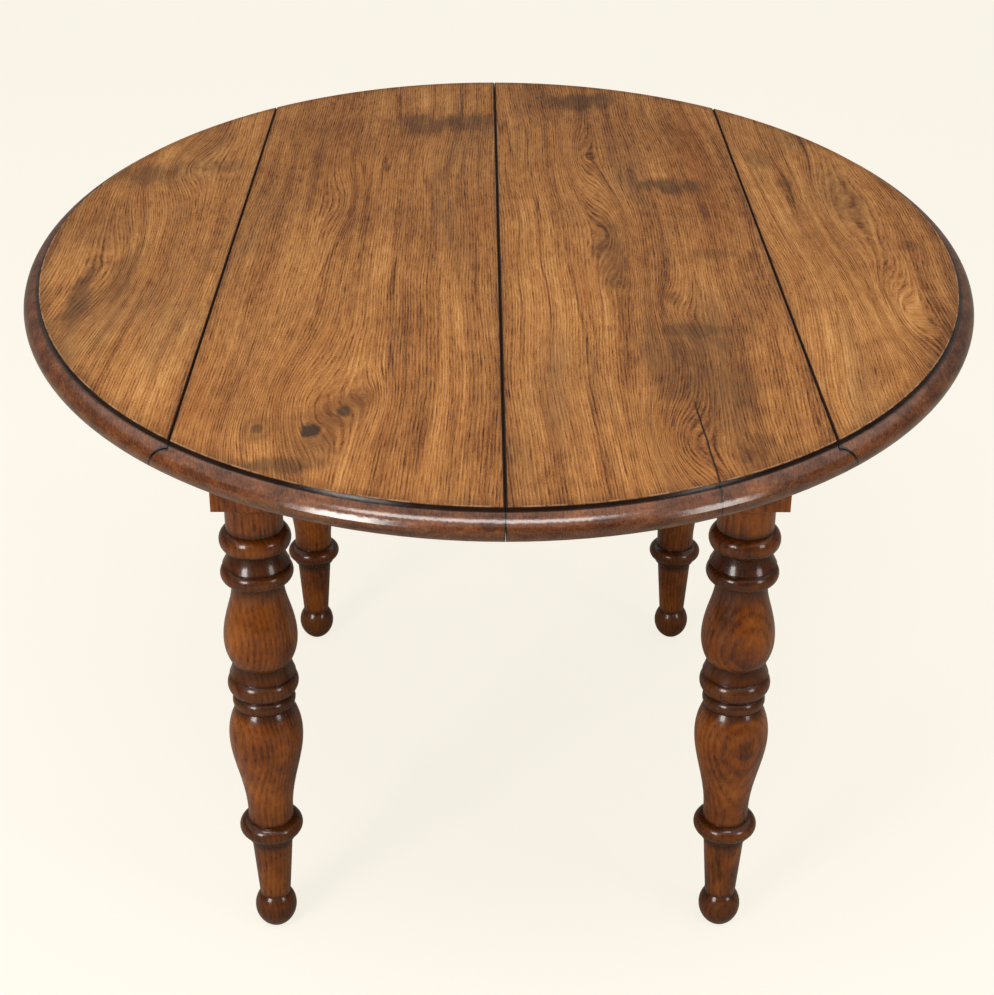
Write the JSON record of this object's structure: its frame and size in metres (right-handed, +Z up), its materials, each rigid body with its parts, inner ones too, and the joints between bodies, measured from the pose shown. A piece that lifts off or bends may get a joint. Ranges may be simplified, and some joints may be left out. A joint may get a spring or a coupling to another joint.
{
  "type": "oval extending table",
  "caption": "Oval oak dining table on turned legs, with a drop leaf on a rule joint at each side and halves that pull apart on wooden runners.",
  "frame": {"origin": "on the floor, under the centre of the closed top", "axes": "+Z up, +Y along the joints of the top towards the back, +X across the joints, the way the right half pulls out"},
  "size_m": [1.0806, 1.4006, 0.74],
  "materials": {
    "oak_top": "waxed",
    "oak_leg": "waxed",
    "frame_wood": "bare",
    "peg_wood": "bare",
    "iron": "dark"
  },
  "bodies": {
    "left_half": {"alignment_pegs": "peg_wood", "back_left_leg": "oak_leg", "back_left_rail": "frame_wood", "back_left_runner": "frame_wood", "front_left_leg": "oak_leg", "front_left_rail": "frame_wood", "front_left_runner": "frame_wood", "left_bearer": "frame_wood", "left_centre_top": "oak_top", "left_end_rail": "frame_wood", "left_frame_pegs": "peg_wood", "left_frame_screws": "iron", "left_glue_blocks": "frame_wood", "left_hinge_fixed_flaps": "iron", "left_hinge_fixed_screws": "iron", "left_hinge_pins": "iron"},
    "right_half": {"back_right_leg": "oak_leg", "back_right_rail": "frame_wood", "back_right_runner": "frame_wood", "front_right_leg": "oak_leg", "front_right_rail": "frame_wood", "front_right_runner": "frame_wood", "right_bearer": "frame_wood", "right_centre_top": "oak_top", "right_end_rail": "frame_wood", "right_frame_pegs": "peg_wood", "right_frame_screws": "iron", "right_glue_blocks": "frame_wood", "right_hinge_fixed_flaps": "iron", "right_hinge_fixed_screws": "iron", "right_hinge_pins": "iron"},
    "left_leaf": {"left_hinge_leaf_flaps": "iron", "left_hinge_leaf_screws": "iron", "left_leaf": "oak_top"},
    "right_leaf": {"right_hinge_leaf_flaps": "iron", "right_hinge_leaf_screws": "iron", "right_leaf": "oak_top"},
    "front_middle_runner": {"front_middle_runner": "frame_wood"},
    "back_middle_runner": {"back_middle_runner": "frame_wood"},
    "front_left_loper": {"front_left_loper": "frame_wood", "front_left_loper_stop": "peg_wood"},
    "back_left_loper": {"back_left_loper": "frame_wood", "back_left_loper_stop": "peg_wood"},
    "front_right_loper": {"front_right_loper": "frame_wood", "front_right_loper_stop": "peg_wood"},
    "back_right_loper": {"back_right_loper": "frame_wood", "back_right_loper_stop": "peg_wood"}
  },
  "joints": [
    {"name": "extension", "type": "slide", "parent": "left_half", "child": "right_half", "axis": [1, 0, 0], "range_m": [0, 0.5]},
    {"name": "front_runner_slide", "type": "slide", "parent": "left_half", "child": "front_middle_runner", "axis": [1, 0, 0], "range_m": [0, 0.25]},
    {"name": "back_runner_slide", "type": "slide", "parent": "left_half", "child": "back_middle_runner", "axis": [1, 0, 0], "range_m": [0, 0.25]},
    {"name": "left_leaf_hinge", "type": "hinge", "parent": "left_half", "child": "left_leaf", "pos_m": [-0.31, 0, 0.715], "axis": [0, 1, 0], "range_deg": [-90, 0]},
    {"name": "right_leaf_hinge", "type": "hinge", "parent": "right_half", "child": "right_leaf", "pos_m": [0.31, 0, 0.715], "axis": [0, -1, 0], "range_deg": [-90, 0]},
    {"name": "front_left_loper_slide", "type": "slide", "parent": "left_half", "child": "front_left_loper", "axis": [-1, 0, 0], "range_m": [0, 0.16]},
    {"name": "back_left_loper_slide", "type": "slide", "parent": "left_half", "child": "back_left_loper", "axis": [-1, 0, 0], "range_m": [0, 0.16]},
    {"name": "front_right_loper_slide", "type": "slide", "parent": "right_half", "child": "front_right_loper", "axis": [1, 0, 0], "range_m": [0, 0.16]},
    {"name": "back_right_loper_slide", "type": "slide", "parent": "right_half", "child": "back_right_loper", "axis": [1, 0, 0], "range_m": [0, 0.16]}
  ],
  "couplings": [
    {"joint": "front_runner_slide", "follows": "extension", "ratio": 0.5},
    {"joint": "back_runner_slide", "follows": "extension", "ratio": 0.5}
  ]
}
